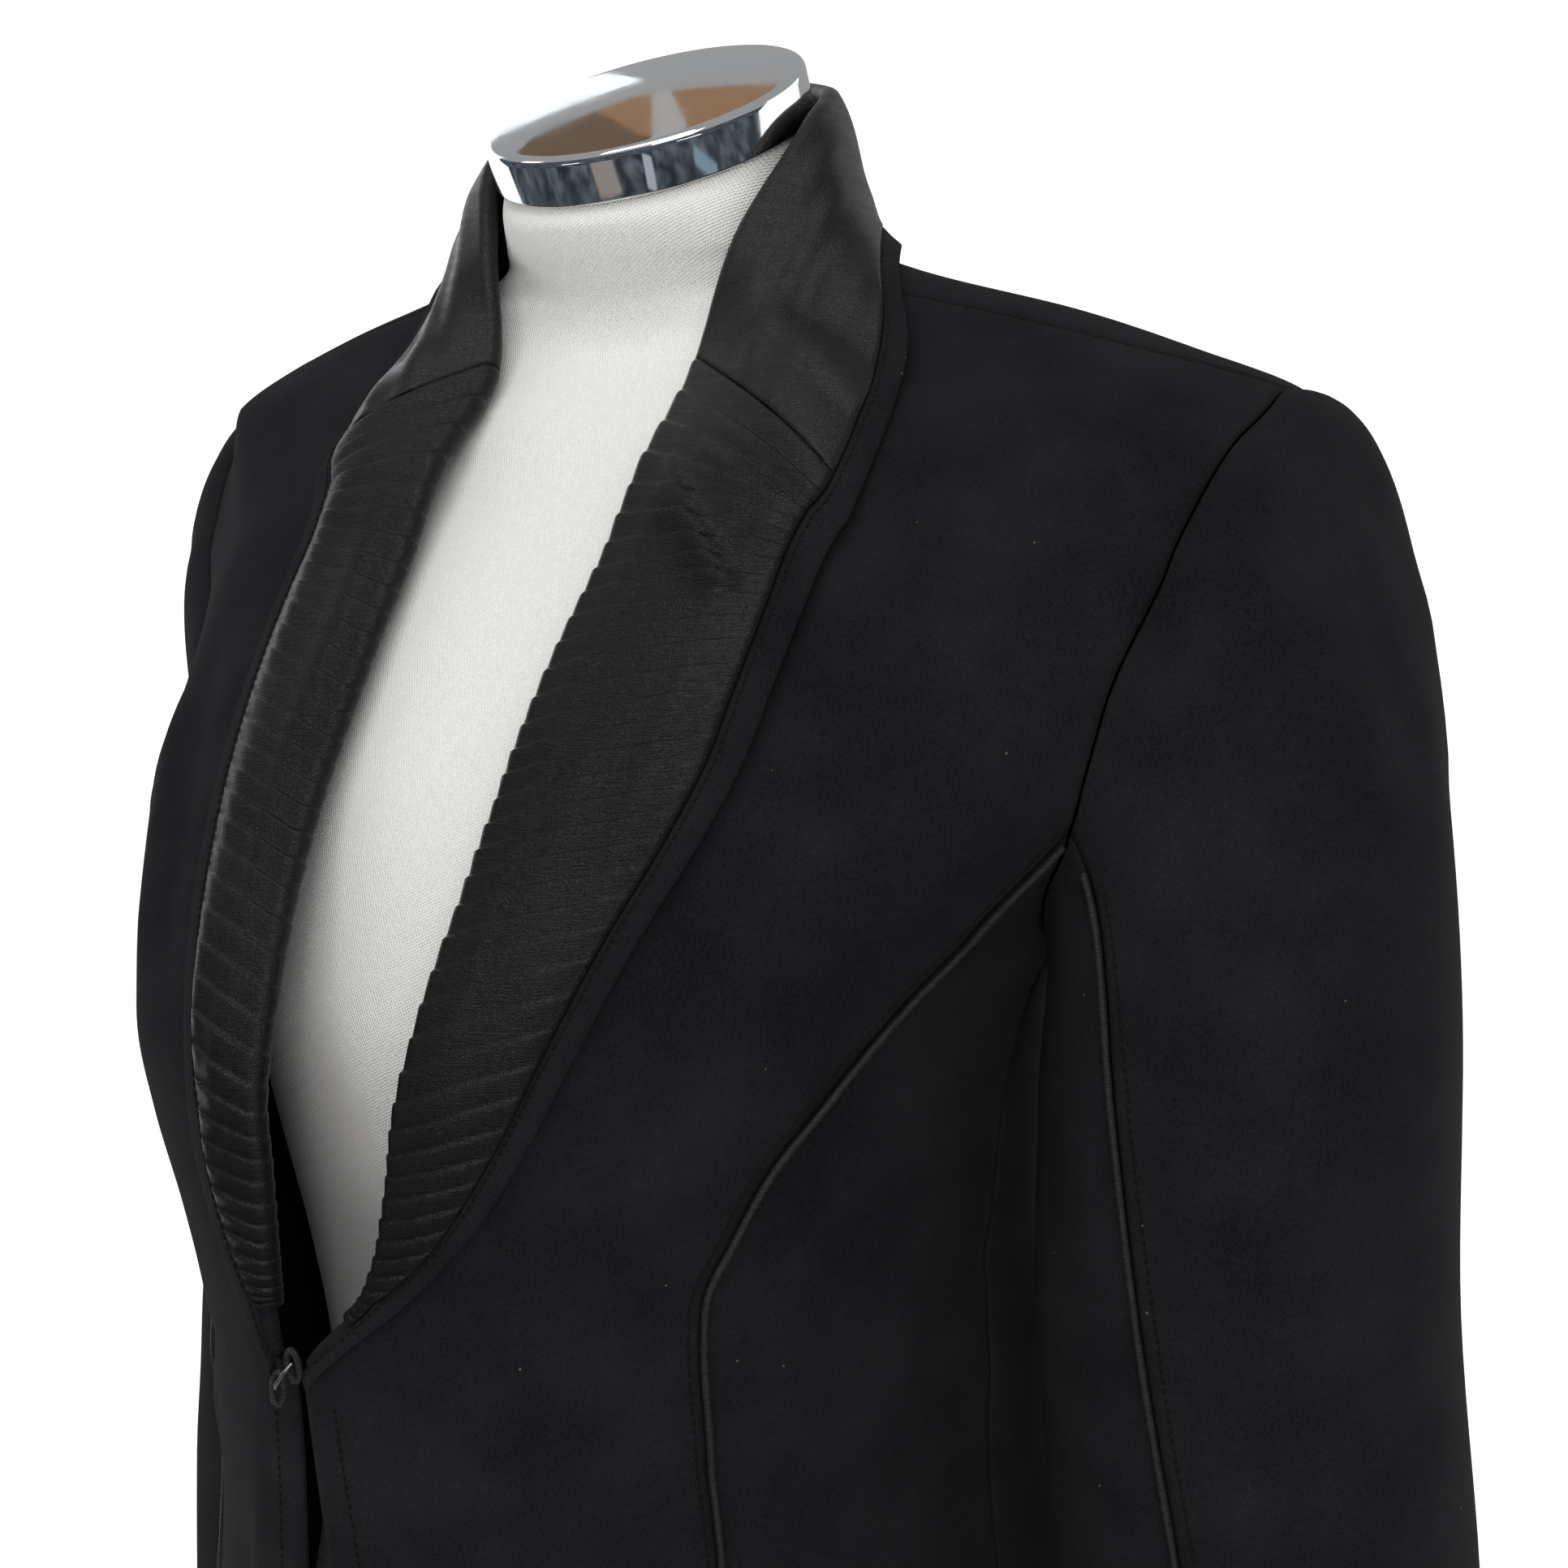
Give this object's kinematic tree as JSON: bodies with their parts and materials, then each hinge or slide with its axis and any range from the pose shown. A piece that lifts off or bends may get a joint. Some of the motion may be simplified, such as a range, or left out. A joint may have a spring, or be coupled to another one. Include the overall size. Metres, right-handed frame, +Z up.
{
  "type": "blazer on a dress form",
  "caption": "Fitted blazer with tucked satin shawl lapels, piped seams and a hook-and-loop closure, worn by a limbless counter-top dress form on a short stand.",
  "frame": {"origin": "centre of the stand base's underside, on the table", "axes": "+Z up, -Y towards the garment's front, +X towards the wearer's left"},
  "size_m": [0.5606, 0.3257, 0.9004],
  "materials": {
    "wool": "matt black wool crepe",
    "satin": "black slubbed satin, plain and tucked",
    "piping": "black satin piping",
    "cord": "twisted black cord",
    "hook_steel": "blackened steel wire",
    "jersey": "cream fine-knit jersey, stretched",
    "chrome": "polished chrome plate"
  },
  "bodies": {
    "root": {"front_centre_L": "wool", "front_centre_R": "wool", "front_side_L": "wool", "front_side_R": "wool", "back_L": "wool", "back_R": "wool", "sleeve_top_L": "wool", "sleeve_top_R": "wool", "sleeve_under_L": "wool", "sleeve_under_R": "wool", "shawl_under_L": "wool", "shawl_under_R": "wool", "lapel_tucked_L": "satin", "lapel_tucked_R": "satin", "collar_upper": "satin", "piping_princess_L": "piping", "piping_princess_R": "piping", "piping_sleeve_L": "piping", "piping_sleeve_R": "piping", "cord_loop_L": "cord", "cord_loop_R": "cord", "hook": "hook_steel", "form_torso": "jersey", "neck_cap": "chrome", "stand_pole": "chrome", "stand_base": "chrome"}
  },
  "joints": []
}
